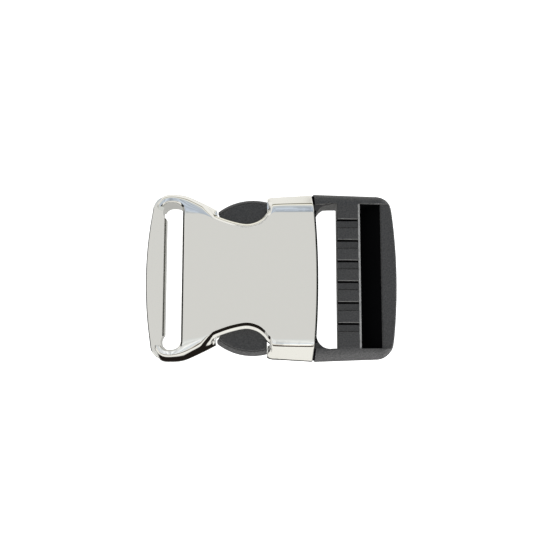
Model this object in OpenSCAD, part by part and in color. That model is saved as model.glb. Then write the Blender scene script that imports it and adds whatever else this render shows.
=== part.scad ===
// Side release buckle for flat webbing, fastened: a cast metal housing and a moulded plastic plug.
// +X runs from the housing's end bar to the plug's end bar, +Z is up, the buckle lies on z = 0.

/* [Webbing] */
// Width of the webbing that the buckle takes
webbing_w = 40; // [34:1:50]
// How much longer the housing's slot is than the webbing is wide
slot_play = 3.4; // [2:0.1:6]
// How much longer the plug's openings are than the webbing is wide
opening_play = 2.8; // [1:0.1:4]

/* [Housing] */
// Length of the housing, from the end bar to the middle of the mouth
housing_l = 50.5; // [46:0.5:58]
// Height of the housing, which is the height of the buckle
housing_h = 11.5; // [10.5:0.1:14]
// Width of each arm beside the webbing slot
arm_w = 3.6; // [2.6:0.1:4.5]
// Width of the end bar at its middle
end_bar_w = 5.8; // [5:0.1:7]
// Radius of the corners where the end bar runs into the arms
end_corner_r = 4.2; // [3:0.1:5]
// Thickness of the end bar
end_bar_t = 4.6; // [3.5:0.1:6]
// Width of the webbing slot
slot_w = 5.2; // [4.2:0.1:6.5]
// Radius of the slot's right-hand corners
slot_corner_r = 2.7; // [1.5:0.1:3]
// Radius of the relief at each end of the slot
relief_r = 2.4; // [1.5:0.1:2.6]
// How far the relief reaches into the end bar
relief_d = 1; // [0.5:0.1:1.6]
// Thickness of the upper and lower shell
shell_t = 2.2; // [1.6:0.1:2.6]
// How much thicker the shells are at the rims of the side windows
window_lip = 1; // [0.4:0.1:1.6]
// How far the edge line lies below the flat top
edge_drop = 1.2; // [0.8:0.1:1.8]
// How far the mouth's edge bows outward
mouth_bow = 1.3; // [0.6:0.1:2]

/* [Plug] */
// Length of the plug that stays outside the housing
plug_l = 23.4; // [22:0.2:27]
// Height of the side rails and the ribbed bar
plug_h = 9.4; // [8.4:0.1:10]
// Width of the front opening at its middle
front_opening_w = 5.5; // [4.5:0.1:7]
// Radius of the front opening's round corners
front_corner_r = 4; // [3:0.1:5]
// How much of the front bar shows between the mouth and the front opening
front_bar_show = 0.25; // [0.1:0.05:0.6]
// Width of the ribbed bar at its top
ribbed_bar_w = 6.9; // [6:0.1:8]
// Depth of the ribbed bar, from its top to its underside
ribbed_bar_t = 5.2; // [4.4:0.1:5.6]
// Width of the rear opening at its top
rear_opening_w = 5.9; // [5:0.1:7]
// How far the rear end bows outward
rear_bow = 1.2; // [0.6:0.1:2]
// Radius of the plug's rear corners
rear_corner_r = 5; // [3:0.1:6]
// Radius of the rounded upper and lower edges of the rear end
rear_edge_r = 2.2; // [1:0.1:3]
// How far the plug's end bar lies below the rails
end_step = 0.9; // [0.5:0.1:1.5]
// Number of grooves in the ribbed bar
groove_count = 6; // [4:1:7]
// Width of a groove
groove_w = 2.8; // [2:0.1:3.2]
// Depth of a groove
groove_d = 0.45; // [0.3:0.05:0.8]

/* [Prongs] */
// Radius of the rounded prong heads
head_r = 17; // [15:0.5:20]
// Length of a prong head
head_l = 14.6; // [12:0.2:16]
// Thickness of the flexing part of a prong
prong_t = 3; // [2.4:0.1:3.6]
// Width of the centre guide
guide_w = 7; // [5:0.5:8]

/* [Fit] */
// Gap between the housing's mouth and the plug's rails
mouth_gap = 0.3; // [0.2:0.05:0.5]
// Clearance of the plug's inner parts above, below and beside
inner_gap = 0.25; // [0.2:0.05:0.4]

/* [Hidden] */

// Overall sizes
half_w = (webbing_w + slot_play) / 2 + arm_w;
total_l = housing_l + plug_l + mouth_gap;
mid_z = housing_h / 2;

// Places along X
end_x = -total_l / 2;
slot_x0 = end_x + end_bar_w;
slot_x1 = slot_x0 + slot_w;
mouth_x = end_x + housing_l;
rear_x = total_l / 2;

// Half lengths of the openings along Y
slot_half = (webbing_w + slot_play) / 2;
opening_half = (webbing_w + opening_play) / 2;

// How much a cutting shape runs past what it cuts
over = 1;

// Sides of a circle that stands for a long shallow arc, and of a small round
ARC_SIDES = 360;
ROUND_SIDES = 60;

// Outline of the housing: at each station the widest line at mid height, the edge line and the
// border of the flat top. X is a share of the length from the arms' tips to the mouth, Y a share
// of the half width.
OUT_X = 0;
OUT_Y = 1;
EDGE_X = 2;
EDGE_Y = 3;
FLAT_X = 4;
FLAT_Y = 5;
outline = [
    [0.000, 0.885, 0.008, 0.862, 0.025, 0.731],
    [0.030, 0.972, 0.040, 0.913, 0.059, 0.723],
    [0.091, 0.992, 0.101, 0.929, 0.114, 0.711],
    [0.175, 0.968, 0.186, 0.889, 0.194, 0.711],
    [0.291, 0.885, 0.291, 0.802, 0.291, 0.704],
    [0.376, 0.812, 0.376, 0.704, 0.376, 0.636],
    [0.460, 0.725, 0.460, 0.632, 0.460, 0.581],
    [0.542, 0.704, 0.546, 0.601, 0.553, 0.549],
    [0.605, 0.732, 0.612, 0.617, 0.620, 0.577],
    [0.654, 0.814, 0.667, 0.680, 0.677, 0.636],
    [0.680, 0.909, 0.694, 0.771, 0.707, 0.700],
    [0.710, 0.960, 0.717, 0.830, 0.732, 0.739],
    [0.776, 0.972, 0.766, 0.844, 0.776, 0.745],
    [1.000, 1.000, 1.000, 0.850, 1.000, 0.747],
];
outline_steps = 3;
shoulder_steps = 3;

// How far the arms' tips stand in from the outer edge of the end bar
tip_inset = 3.4;
tip_x = end_x + tip_inset;

// Where the latch faces and the side windows' left ends lie, as shares of the outline's length
LATCH_AT = 0.69;
WINDOW_AT = 0.37;
latch_x = tip_x + LATCH_AT * (mouth_x - tip_x);
window_x = tip_x + WINDOW_AT * (mouth_x - tip_x);

// Half width of the hollow behind the mouth, which keeps a wall inside the edge line
mouth_wall = 1.1;
hollow_half = half_w * outline[len(outline) - 1][EDGE_Y] - mouth_wall;

// Radius of an arc that bows by b over a half width w
function bow_r(w, b) = (w * w + b * b) / (2 * b);

// A smooth curve through four values, from the second to the third
function smooth(a, b, c, d, t) =
    b + t / 2 * ((c - a) + t * ((2 * a - 5 * b + 4 * c - d) + t * (3 * (b - c) + d - a)));

// The outline's row at any station, counted in rows
function row_at(s) =
    let (last = len(outline) - 1)
    let (i = min(floor(s), last - 1))
    let (before = outline[max(i - 1, 0)])
    let (after = outline[min(i + 2, last)])
    [for (k = [OUT_X:FLAT_Y]) smooth(before[k], outline[i][k], outline[i + 1][k], after[k], s - i)];

function along(share) = tip_x + share * (mouth_x + over - tip_x);

// The upper right quarter of a section, from the flat top's border round to the widest line
function quarter(row) = [
    for (i = [0:shoulder_steps])
        let (q = i / shoulder_steps)
        [
            along(row[FLAT_X] + q * (row[EDGE_X] - row[FLAT_X])),
            half_w * (row[FLAT_Y] + q * (row[EDGE_Y] - row[FLAT_Y])),
            mid_z - edge_drop * q * q,
        ],
    [along(row[OUT_X]), half_w * row[OUT_Y], 0],
];

// A whole section: the quarter, mirrored down, and both mirrored across, as one closed ring
function ring(row) =
    let (q = quarter(row))
    let (n = len(q))
    let (right = concat(q, [for (i = [n - 2:-1:0]) [q[i][0], q[i][1], -q[i][2]]]))
    let (m = len(right))
    concat(
        [for (p = right) [p[0], p[1], mid_z + p[2]]],
        [for (i = [m - 1:-1:0]) [right[i][0], -right[i][1], mid_z + right[i][2]]]
    );

// The housing's outer form as one solid, with a straight end beyond the mouth
module housing_form() {
    stations = [for (s = [0:1 / outline_steps:len(outline) - 1]) s];
    rings = [for (s = stations) ring(row_at(s))];
    n = len(rings[0]);
    last = len(rings) - 1;
    // Each point of a ring and its mirror image lie level, so an end closes with flat strips
    strips = [for (i = [0:n / 2 - 2]) [i, i + 1, n - 2 - i, n - 1 - i]];
    polyhedron(
        points = [for (r = rings) each r],
        faces = concat(
            [for (s = strips) [s[3], s[2], s[1], s[0]]],
            [for (k = [0:last - 1]) for (i = [0:n - 1])
                let (j = (i + 1) % n)
                each [
                    [k * n + i, (k + 1) * n + j, (k + 1) * n + i],
                    [k * n + i, k * n + j, (k + 1) * n + j],
                ]],
            [for (s = strips) [for (i = s) last * n + i]]
        )
    );
}

// The space in front of the mouth's bowed edge, moved out by a gap
module beyond_mouth(gap) {
    r = bow_r(half_w, mouth_bow);
    difference() {
        translate([mouth_x - 3 * mouth_bow, -half_w - over])
            square([total_l, 2 * (half_w + over)]);
        translate([mouth_x - r, 0])
            circle(r = r + gap, $fn = ARC_SIDES);
    }
}

module mirrored() {
    children();
    mirror([0, 1, 0]) children();
}

// The webbing slot with its rounded corners and the relief at its ends
module slot_outline() {
    corner_y = slot_half - slot_corner_r;
    relief_y = slot_half - relief_r;
    translate([slot_x0, -corner_y]) square([slot_w, 2 * corner_y]);
    mirrored() {
        translate([slot_x0, 0]) square([slot_w - slot_corner_r, slot_half]);
        translate([slot_x1 - slot_corner_r, corner_y]) circle(r = slot_corner_r, $fn = ROUND_SIDES);
        translate([slot_x0 - relief_d + relief_r, relief_y]) circle(r = relief_r, $fn = ROUND_SIDES);
    }
}

// The end bar seen from above: a bowed outer edge whose round corners run into the arms
end_bow = 1.7;
module end_bar_outline() {
    corner_y = half_w - arm_w / 4 - end_corner_r;
    r = bow_r(corner_y, end_bow);
    intersection() {
        translate([end_x + r, 0]) circle(r = r, $fn = ARC_SIDES);
        translate([end_x, -half_w]) square([end_bar_w + over, 2 * half_w]);
        union() {
            translate([end_x, -corner_y]) square([end_bar_w + over, 2 * corner_y]);
            mirrored() translate([end_x + end_bow + end_corner_r, corner_y])
                circle(r = end_corner_r, $fn = ROUND_SIDES);
        }
    }
}

// The hollow between the shells, seen from above: narrow between the windows, wide behind the mouth
BACK_HALF = 0.52;
module hollow_outline() {
    back_x = slot_x1 + shell_t;
    mirrored() polygon([
        [back_x, 0],
        [back_x, half_w * BACK_HALF],
        [latch_x, half_w * BACK_HALF],
        [latch_x, hollow_half],
        [mouth_x + over, hollow_half],
        [mouth_x + over, 0],
    ]);
}

// One side window, from the hollow out past the scoop, with its left end slanting outward
SLANT_HALF = 0.82;
window_slant = 6;
module window_outline() {
    polygon([
        [window_x, half_w * BACK_HALF],
        [latch_x, half_w * BACK_HALF],
        [latch_x, half_w + over],
        [window_x - window_slant, half_w + over],
        [window_x, half_w * SLANT_HALF],
    ]);
}

// A space between the shells, which stays clear of each outer face by a thickness
module between_shells(thickness) {
    translate([0, 0, thickness]) linear_extrude(housing_h - 2 * thickness) children();
}

module socket_housing() {
    step_half = slot_half - relief_r / 2;
    color([0.82, 0.82, 0.79]) difference() {
        union() {
            difference() {
                housing_form();
                for (z = [-over, mid_z + end_bar_t / 2])
                    translate([end_x, -step_half, z])
                        cube([end_bar_w + slot_w / 2, 2 * step_half, mid_z - end_bar_t / 2 + over]);
            }
            translate([0, 0, mid_z - end_bar_t / 2]) linear_extrude(end_bar_t) end_bar_outline();
        }
        translate([0, 0, -over]) linear_extrude(housing_h + 2 * over) slot_outline();
        translate([0, 0, -over]) linear_extrude(housing_h + 2 * over) beyond_mouth(0);
        between_shells(shell_t) hollow_outline();
        between_shells(shell_t + window_lip) mirrored() window_outline();
    }
}

// Sizes of the plug
rail_z0 = (housing_h - plug_h) / 2;
rail_z1 = rail_z0 + plug_h;
front_x1 = mouth_x + mouth_gap + front_bar_show;
ribbed_x0 = front_x1 + front_opening_w;
ribbed_x1 = ribbed_x0 + ribbed_bar_w;
rear_x0 = ribbed_x1 + rear_opening_w;
inner_z0 = shell_t + inner_gap;
inner_h = housing_h - 2 * inner_z0;
head_z0 = inner_z0 + window_lip;
head_h = housing_h - 2 * head_z0;

// The plug's body seen from above. The rails narrow from the mouth to the rear corners.
RAIL_FRONT = 0.996;
RAIL_REAR = 0.968;
module plug_outline() {
    front_half = half_w * RAIL_FRONT;
    rear_half = half_w * RAIL_REAR;
    corner_x = rear_x - rear_bow - rear_corner_r;
    polygon([
        [mouth_x - 2 * mouth_bow, -front_half],
        [corner_x, -rear_half],
        [corner_x, rear_half],
        [mouth_x - 2 * mouth_bow, front_half],
    ]);
    translate([corner_x - over, rear_corner_r - rear_half])
        square([2 * rear_corner_r + over, 2 * (rear_half - rear_corner_r)]);
    mirrored() translate([corner_x, rear_half - rear_corner_r])
        circle(r = rear_corner_r, $fn = ROUND_SIDES);
}

// A disc whose round rim is the plug's bowed rear end
module rear_disc() {
    r = bow_r(half_w - rear_corner_r, rear_bow);
    translate([rear_x - r, 0, rail_z0]) rotate_extrude($fn = ARC_SIDES) {
        square([r - rear_edge_r, plug_h]);
        translate([0, rear_edge_r]) square([r, plug_h - 2 * rear_edge_r]);
        for (z = [rear_edge_r, plug_h - rear_edge_r])
            translate([r - rear_edge_r, z]) circle(r = rear_edge_r, $fn = ROUND_SIDES);
    }
}

// The plug's body seen along X: flat top and bottom, and round outer sides
module plug_section() {
    side = half_w - opening_half;
    steps = 10;
    upper = [for (i = [0:steps]) let (a = 90 - 90 * i / steps)
        [opening_half + side * cos(a), plug_h / 2 * sin(a)]];
    half = concat(upper, [for (i = [steps - 1:-1:0]) [upper[i][0], -upper[i][1]]]);
    polygon(concat(half, [for (i = [len(half) - 1:-1:0]) [-half[i][0], half[i][1]]]));
}

// The front opening, round where it meets the front bar
module front_opening_outline() {
    corner = front_corner_r;
    r = bow_r(half_w, mouth_bow);
    difference() {
        translate([mouth_x - over, -opening_half])
            square([ribbed_x0 - mouth_x + over, 2 * opening_half]);
        translate([front_x1 - r, 0]) circle(r = r, $fn = ARC_SIDES);
        mirrored() difference() {
            translate([mouth_x - over, opening_half - corner])
                square([corner + over + front_x1 - mouth_x - mouth_bow / 2, corner + over]);
            translate([front_x1 - mouth_bow / 2 + corner, opening_half - corner])
                circle(r = corner, $fn = ROUND_SIDES);
        }
    }
}

// Seen along Y: the rear opening, which slants down under the ribbed bar, and the step of the
// end bar. The lip of the end bar and the heel of the ribbed bar are shares of the bar's width.
LIP_AT = 0.78;
HEEL_AT = 0.45;
ribbed_edge = 0.85;
module rear_space() {
    under_z = rail_z1 - ribbed_bar_t;
    lip_x = ribbed_x0 + ribbed_bar_w * LIP_AT;
    heel_x = ribbed_x0 + ribbed_bar_w * HEEL_AT;
    step_z = rail_z1 - end_step;
    polygon([
        [ribbed_x1, rail_z1 + over],
        [rear_x + over, rail_z1 + over],
        [rear_x + over, step_z],
        [rear_x0, step_z],
        [lip_x, rail_z0],
        [lip_x, rail_z0 - over],
        [ribbed_x0 - over, rail_z0 - over],
        [ribbed_x0 - over, under_z],
        [heel_x, under_z],
        [ribbed_x1, rail_z1 - ribbed_edge],
    ]);
}

module grooves() {
    pitch = (2 * opening_half - groove_w) / (groove_count + 0.5);
    slope = groove_d;
    mid = groove_w / 2;
    for (k = [0:groove_count - 1])
        translate([ribbed_x0 - over, (k - (groove_count - 1) / 2) * pitch, rail_z1 - groove_d])
            rotate([90, 0, 90]) linear_extrude(ribbed_bar_w + 2 * over)
                polygon([
                    [slope - mid, 0],
                    [mid - slope, 0],
                    [mid + slope, 2 * slope],
                    [-mid - slope, 2 * slope],
                ]);
}

// The parts of the front bar's height that the side rails stand above and below it
module beside_front_bar() {
    step_x0 = mouth_x - 2 * mouth_bow - over;
    step_x1 = front_x1 - mouth_bow / 2 + front_corner_r;
    for (z = [rail_z0 - over, inner_z0 + inner_h])
        translate([step_x0, -opening_half, z])
            cube([step_x1 - step_x0, 2 * opening_half, inner_z0 - rail_z0 + over]);
}

module plug_body() {
    difference() {
        intersection() {
            translate([0, 0, rail_z0]) linear_extrude(plug_h) plug_outline();
            rear_disc();
            translate([0, 0, mid_z]) rotate([90, 0, 90])
                translate([0, 0, mouth_x - 2 * mouth_bow]) linear_extrude(total_l) plug_section();
            linear_extrude(housing_h) beyond_mouth(mouth_gap);
        }
        translate([0, 0, -over]) linear_extrude(housing_h + 2 * over) front_opening_outline();
        translate([0, opening_half, 0]) rotate([90, 0, 0])
            linear_extrude(2 * opening_half) rear_space();
        grooves();
        beside_front_bar();
    }
}

// The flexing arm of a prong seen from above, from the front bar to the head
arm_out = hollow_half - inner_gap - prong_t / 2;
face_x = latch_x - inner_gap;
module prong_arm_outline() {
    translate([face_x - prong_t, arm_out - prong_t])
        square([mouth_x - mouth_bow - face_x, prong_t]);
}

// The rounded head of a prong: crowned outside, with the latch face at its right. Its apex lies
// at a share of its length and of the half width, and its tip narrows inward.
APEX_AT = 0.29;
APEX_HALF = 0.926;
TIP_HALF = 0.75;
HEAD_IN_HALF = 0.58;
TIP_TAPER = 0.25;
head_crown = 0.8;
module prong_head() {
    apex_x = face_x - head_l * APEX_AT;
    apex_y = half_w * APEX_HALF;
    head_tip_x = face_x - head_l;
    head_in = half_w * HEAD_IN_HALF;
    steps = 8;
    side = [for (i = [0:steps]) let (q = 2 * i / steps - 1)
        [head_r - head_crown * q * q, head_z0 + head_h * i / steps]];
    intersection() {
        translate([apex_x, apex_y - head_r, 0]) rotate_extrude($fn = ARC_SIDES)
            polygon(concat([[0, head_z0]], side, [[0, head_z0 + head_h]]));
        translate([0, 0, head_z0]) linear_extrude(head_h) polygon([
            [face_x, arm_out - prong_t],
            [face_x, half_w],
            [head_tip_x, half_w],
            [head_tip_x, half_w * TIP_HALF],
            [head_tip_x + head_l * TIP_TAPER, head_in],
            [face_x - prong_t, head_in],
        ]);
    }
}

// The front bar and the centre guide inside the housing, seen from above
module inner_outline() {
    bar_x0 = mouth_x - mouth_bow - 2 * prong_t;
    bar_half = hollow_half - inner_gap;
    r = bow_r(half_w, mouth_bow);
    intersection() {
        translate([bar_x0, -bar_half]) square([front_x1 - bar_x0 + over, 2 * bar_half]);
        translate([front_x1 - r, 0]) circle(r = r, $fn = ARC_SIDES);
    }
    guide_tip = window_x + prong_t;
    translate([guide_tip, -guide_w / 2]) square([bar_x0 - guide_tip + over, guide_w]);
    translate([guide_tip, 0]) circle(r = guide_w / 2, $fn = ROUND_SIDES);
}

module prong_plug() {
    color([0.27, 0.27, 0.28]) union() {
        plug_body();
        translate([0, 0, inner_z0]) linear_extrude(inner_h) inner_outline();
        translate([0, 0, head_z0]) linear_extrude(head_h) mirrored() prong_arm_outline();
        mirrored() prong_head();
    }
}

socket_housing();
prong_plug();
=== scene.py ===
"""Side release buckle, fastened: a plated cast housing and a moulded plastic plug, on a pale floor."""

import math

import bmesh
import bpy
import mathutils
import numpy as np
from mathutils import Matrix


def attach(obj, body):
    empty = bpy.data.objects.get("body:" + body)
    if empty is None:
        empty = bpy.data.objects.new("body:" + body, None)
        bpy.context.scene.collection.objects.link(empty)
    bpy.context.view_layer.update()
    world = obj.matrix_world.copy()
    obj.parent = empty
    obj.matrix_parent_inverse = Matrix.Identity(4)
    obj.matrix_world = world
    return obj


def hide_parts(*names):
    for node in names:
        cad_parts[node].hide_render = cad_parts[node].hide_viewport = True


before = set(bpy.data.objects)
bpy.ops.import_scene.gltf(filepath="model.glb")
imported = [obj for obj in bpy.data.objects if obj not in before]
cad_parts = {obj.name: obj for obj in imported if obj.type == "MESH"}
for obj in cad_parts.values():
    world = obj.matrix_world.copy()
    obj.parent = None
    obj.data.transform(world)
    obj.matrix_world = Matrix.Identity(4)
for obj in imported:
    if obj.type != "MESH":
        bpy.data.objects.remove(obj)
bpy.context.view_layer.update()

# Shapes are built in millimetres and brought to metres at the end.
MM = 0.001

# ---- sizes shared with the part's source, in millimetres ----
HALF_W = 25.3
HEIGHT = 11.5
MID_Z = HEIGHT / 2
EDGE_DROP = 1.2
# The arms, the webbing slot between them and the bar behind it.
END_X = -37.1
TIP_X = -33.7
SLOT_X0 = -31.3
SLOT_X1 = -26.1
SLOT_HALF = 21.7
SLOT_CORNER = 2.7
RELIEF_R = 2.4
RELIEF_D = 1.0
END_CORNER = 4.2
END_BOW = 1.7
END_BAR_T = 4.6
ARM_W = 3.6
# The shells and the mouth.
SHELL_T = 2.2
MOUTH_X = 13.4
MOUTH_BOW = 1.3
MOUTH_GAP = 0.3
# The side windows and the hollow. BACK_HALF and SLANT_HALF are shares of the half width.
WINDOW_X = -16.27
LATCH_X = -1.2
WINDOW_SLANT = 6.0
WINDOW_LIP = 1.0
BACK_HALF = 0.52
SLANT_HALF = 0.82
HOLLOW_HALF = 20.405
INNER_GAP = 0.25
# The plug's rails, bars and openings.
PLUG_H = 9.4
RAIL_Z0 = 1.05
RAIL_Z1 = 10.45
OPENING_HALF = 21.4
FRONT_X1 = 13.95
FRONT_CORNER = 4.0
RIBBED_X0 = 19.45
RIBBED_X1 = 26.35
RIBBED_T = 5.2
REAR_X0 = 32.25
REAR_X = 37.1
REAR_BOW = 1.2
REAR_CORNER = 5.0
REAR_EDGE = 2.2
END_STEP = 0.9
GROOVE_COUNT = 6
GROOVE_W = 2.8
GROOVE_D = 0.45
# The prongs and the guide between them.
HEAD_R = 17.0
HEAD_L = 14.6
PRONG_T = 3.0
GUIDE_W = 7.0
# Where a head's arc stands out most, and how its tip narrows inward, as shares of the head's length
# and of the half width.
APEX_AT = 0.29
APEX_HALF = 0.926
TIP_HALF = 0.75
TIP_TAPER = 0.25
HEAD_IN_HALF = 0.58
# The rails' half widths at the mouth and at the rear, as shares of the housing's.
RAIL_FRONT = 0.996
RAIL_REAR = 0.968
# The lower end of the rear opening's slant and its upper end, as shares of the ribbed bar's width.
LIP_AT = 0.78
HEEL_AT = 0.45

# Outline of the housing: the widest line, the edge line and the border of the flat top at each
# station, X as a share of the length from the arms' tips, Y as a share of the half width.
OUT_X, OUT_Y, EDGE_X, EDGE_Y, FLAT_X, FLAT_Y = range(6)
OUTLINE = np.array([
    [0.000, 0.885, 0.008, 0.862, 0.025, 0.731],
    [0.030, 0.972, 0.040, 0.913, 0.059, 0.723],
    [0.091, 0.989, 0.101, 0.929, 0.114, 0.711],
    [0.175, 0.968, 0.186, 0.889, 0.194, 0.711],
    [0.291, 0.874, 0.291, 0.802, 0.291, 0.704],
    [0.376, 0.794, 0.376, 0.704, 0.376, 0.636],
    [0.460, 0.725, 0.460, 0.632, 0.460, 0.581],
    [0.542, 0.704, 0.546, 0.601, 0.553, 0.549],
    [0.605, 0.732, 0.612, 0.617, 0.620, 0.577],
    [0.642, 0.814, 0.652, 0.680, 0.664, 0.636],
    [0.662, 0.909, 0.674, 0.771, 0.692, 0.700],
    [0.692, 0.960, 0.702, 0.830, 0.720, 0.728],
    [0.776, 0.972, 0.766, 0.844, 0.776, 0.728],
    [1.000, 0.997, 1.000, 0.848, 1.000, 0.730],
])
OVER = 1.0
LAST_ROW = len(OUTLINE) - 1

# The section along a scoop, out from the flat top's border and down from its height: a round
# shoulder, a steep wall and a lip that faces up and out over the window.
SCOOP_SHOULDER = [(0.15 * q, 0.14 * q * q) for q in np.linspace(0, 1, 14)]
SCOOP = np.array(SCOOP_SHOULDER + [
    (0.42, 0.650), (0.69, 1.160), (0.93, 1.610),
    (0.96, 1.645), (1.10, 1.795),
    (1.14, 1.830), (1.55, 2.100),
    (1.66, 2.220), (1.70, 3.400),
])
# Where the plain side turns into the scoop's section, counted in rows of the outline, and back.
SCOOP_STATIONS = (3.9, 4.7, 10.3, 11.1)
# Where the lip narrows from the arm's whole side to a rim over the window, and widens again.
LIP_STATIONS = (4.5, 4.95, 10.6, 11.0)
# The point of the section from which it runs straight down to the side where no window is.
LIP_POINT = 19
# How far along the housing its arms' walls are rounded over their whole height.
ARM_STATIONS = (3.0, 4.6)

# ---- fineness and small roundings of the picture's model ----
STATIONS_PER_ROW = 14
FLAT_STEPS = 8
SHOULDER_STEPS = 9
EDGE_ROUND = 0.5
RIDGE_SHARE = 0.18
# Where the points lie along a section's edge, side and ridge, as shares of each. Down to the last of
# SIDE_PARTS a section has as many points as SCOOP.
EDGE_PARTS = (0.15, 0.3, 0.45, 0.6, 0.8)
SIDE_PARTS = (0.15, 0.2, 0.25, 0.3, 0.35, 0.4, 0.44)
LOWER_SIDE = 0.6
RIDGE_PARTS = (0.12, 0.25, 0.38, 0.5)
# How far an end's rings are drawn in to close it.
CLOSING_SHARES = (0.97, 0.9, 0.75, 0.5, 0.25, 0.05)
WINDOW_RIM = 0.15
MOUTH_ROUND = 0.25
TIP_ROUND = 0.9
TIP_BULGE = 0.4
SLOT_ROUND = 0.45
SLOT_ROUND_RIGHT = 0.95
SLOT_ROUND_END = 1.3
# How far from the slot's right side and from its two ends the wider rounds begin and are whole.
RIGHT_BLEND = 1.2
END_BLEND = (3.6, 1.6)
BAR_ROUND = 0.5
BAR_ROUND_INNER = 1.1
ROUND_STEPS = 5
# The longest that a normal gets at a sharp corner.
MITRE = 1.4
RIM_ROUND = 0.35
INNER_ROUND = 0.25
BAR_LIP_W = 0.6
BAR_LIP_H = 0.5
# The deep notch on each groove's far side and the faint one on its near side.
NOTCH_W = 0.62
NOTCH_D = 0.95
FAINT_W = 0.24
FAINT_D = 0.2
# The bevel along the rails' inner edges, and the strip along the ribbed bar's rear edge, which gets a
# painted highlight.
EDGE_BEVEL = 0.28
STRIP_W = 0.62
STRIP_H = 0.5
# The seam between the housing's mouth and the rails: its gap, and the recess along the rails.
SEAM_GAP = 0.08
SEAM_W = 0.5
SEAM_D = 0.4
# The prong heads: how far their sides bulge, the play behind them and the bevel beside it.
HEAD_CROWN = 1.1
FACE_GAP = 0.02
HEAD_BEVEL = 0.32
# The crease between a prong head's crowned side and its flat top: how far each point lies in from
# the side and below the top.
HEAD_CREASE = ((0.0, 0.3), (0.1, 0.26), (0.16, 0.5), (0.34, 0.5), (0.42, 0.08), (0.52, 0.0))
SMOOTH_ANGLE = math.radians(33)

# ---- light and camera ----
FRONT_POWER = 1.0
END_POWER = 1.3
ELEVATION = math.radians(81.5)
DISTANCE = 0.25
TARGET = (0.001164, 0.00075, 0.00575)
LENS = 54.82


# ---- mesh helpers ----
def mesh_object(name, points, faces):
    mesh = bpy.data.meshes.new(name)
    mesh.from_pydata([tuple(p) for p in points], [], [tuple(f) for f in faces])
    mesh.update()
    obj = bpy.data.objects.new(name, mesh)
    bpy.context.scene.collection.objects.link(obj)
    return obj


def ring_faces(rings, count):
    """Quads between neighbouring rings of count points each."""
    faces = []
    for k in range(rings - 1):
        for i in range(count):
            j = (i + 1) % count
            faces.append((k * count + i, k * count + j, (k + 1) * count + j, (k + 1) * count + i))
    return faces


def stack(name, rings):
    """A closed solid from rings of points, the first and last closed by a flat face."""
    count = len(rings[0])
    faces = ring_faces(len(rings), count)
    faces.append(tuple(range(count - 1, -1, -1)))
    base = (len(rings) - 1) * count
    faces.append(tuple(base + i for i in range(count)))
    obj = mesh_object(name, np.concatenate(rings), faces)
    outward(obj)
    return obj


def outward(obj):
    """Turns every face outward if the solid's volume comes out negative."""
    mesh = obj.data
    volume = 0.0
    points = np.empty(len(mesh.vertices) * 3)
    mesh.vertices.foreach_get("co", points)
    points = points.reshape(-1, 3)
    for poly in mesh.polygons:
        corner = points[list(poly.vertices)]
        for k in range(1, len(corner) - 1):
            volume += np.dot(corner[0], np.cross(corner[k], corner[k + 1]))
    if volume < 0:
        mesh.flip_normals()


def bake(obj):
    """Applies the object's modifiers."""
    bpy.context.view_layer.update()
    graph = bpy.context.evaluated_depsgraph_get()
    mesh = bpy.data.meshes.new_from_object(obj.evaluated_get(graph))
    old = obj.data
    obj.modifiers.clear()
    obj.data = mesh
    bpy.data.meshes.remove(old)


def combine(obj, tool, operation):
    """Adds, cuts or intersects a tool with the object and removes the tool."""
    modifier = obj.modifiers.new("combine", "BOOLEAN")
    modifier.operation = operation
    modifier.solver = "MANIFOLD"
    modifier.object = tool
    bake(obj)
    bpy.data.objects.remove(tool)


def cut(obj, *tools):
    for tool in tools:
        combine(obj, tool, "DIFFERENCE")


def add(obj, *tools):
    for tool in tools:
        combine(obj, tool, "UNION")


def arc(centre, radius, start, end, steps):
    """Points on an arc in the plane, angles in degrees."""
    angle = np.radians(np.linspace(start, end, steps + 1))
    return np.column_stack([centre[0] + radius * np.cos(angle), centre[1] + radius * np.sin(angle)])


def mirror_y(points):
    """The same outline on the other side, in the order that closes the whole."""
    turned = points[::-1].copy()
    turned[:, 1] *= -1
    return turned


def resampled(points, step):
    """A closed outline with extra points on its long straight edges."""
    out = []
    for a, b in zip(points, np.roll(points, -1, axis=0)):
        n = max(1, int(np.linalg.norm(b - a) / step))
        out.extend(a + (b - a) * k / n for k in range(n))
    return np.array(out)


def without_twins(points):
    """A closed outline without the points that repeat the one before."""
    keep = np.linalg.norm(points - np.roll(points, 1, axis=0), axis=1) > 1e-4
    return points[keep]


def outline_normals(points):
    """Outward normals of a closed outline that runs counter-clockwise, longer at its corners."""
    forward = np.roll(points, -1, axis=0) - points
    back = points - np.roll(points, 1, axis=0)
    normal = []
    for v in (forward, back):
        n = np.column_stack([v[:, 1], -v[:, 0]])
        normal.append(n / np.linalg.norm(n, axis=1)[:, None])
    total = normal[0] + normal[1]
    length = np.maximum(np.linalg.norm(total, axis=1), 1e-6)
    return total / length[:, None] * np.minimum(2 / length, MITRE)[:, None]


def level(points, z):
    """A ring of an outline at one height, or at a height of its own for each point."""
    return np.column_stack([points, np.broadcast_to(z, len(points))])


def quarter_round():
    """How far aside and how far short of the end each step of a quarter round lies, as shares."""
    angles = np.radians(np.linspace(0, 90, ROUND_STEPS + 1))
    return [(1 - math.cos(a), 1 - math.sin(a)) for a in angles]


def rim_rings(points, wide, bottom, top, radius):
    """The rings of a plate whose lower and upper rims are drawn aside in a round."""
    lower = [level(points + wide * aside, bottom + radius * short) for aside, short in quarter_round()]
    upper = [level(points + wide * aside, top - radius * short) for aside, short in quarter_round()]
    return lower[::-1] + upper


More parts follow.
